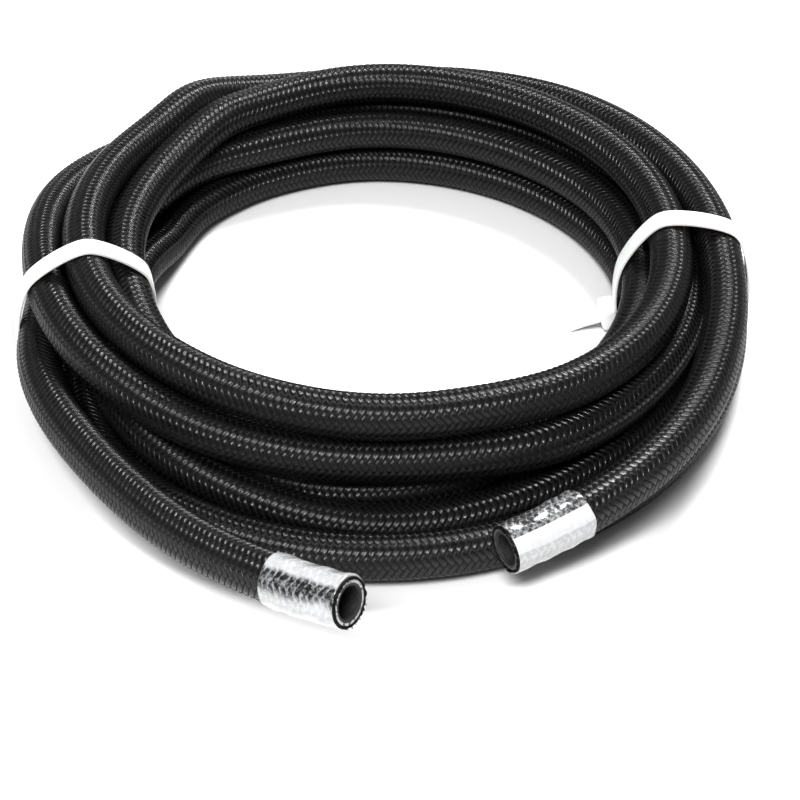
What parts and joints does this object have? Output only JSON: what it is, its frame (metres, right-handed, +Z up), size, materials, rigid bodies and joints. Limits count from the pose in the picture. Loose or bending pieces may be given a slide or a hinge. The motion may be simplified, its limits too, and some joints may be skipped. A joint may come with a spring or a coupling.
{
  "type": "coil of braided fuel hose",
  "caption": "Loose coil of black nylon braided rubber fuel hose, held by white cable ties, with its cut ends bound in clear tape.",
  "frame": {"origin": "on the level floor that the coil lies on, under the middle of the part's box", "axes": "+Z up from the floor, -Y towards the two free cut ends, +X to the right seen from them"},
  "size_m": [0.2754, 0.3496, 0.0552],
  "materials": {
    "nylon_braid": "satin woven",
    "liner_rubber": "matte",
    "clear_tape": "glossy, see-through",
    "tie_nylon": "satin"
  },
  "bodies": {
    "root": {"braided_fuel_hose": "nylon_braid", "tape_wrap_left": "clear_tape", "tape_wrap_right": "clear_tape", "cable_tie_left": "tie_nylon", "cable_tie_right": "tie_nylon"}
  },
  "joints": []
}
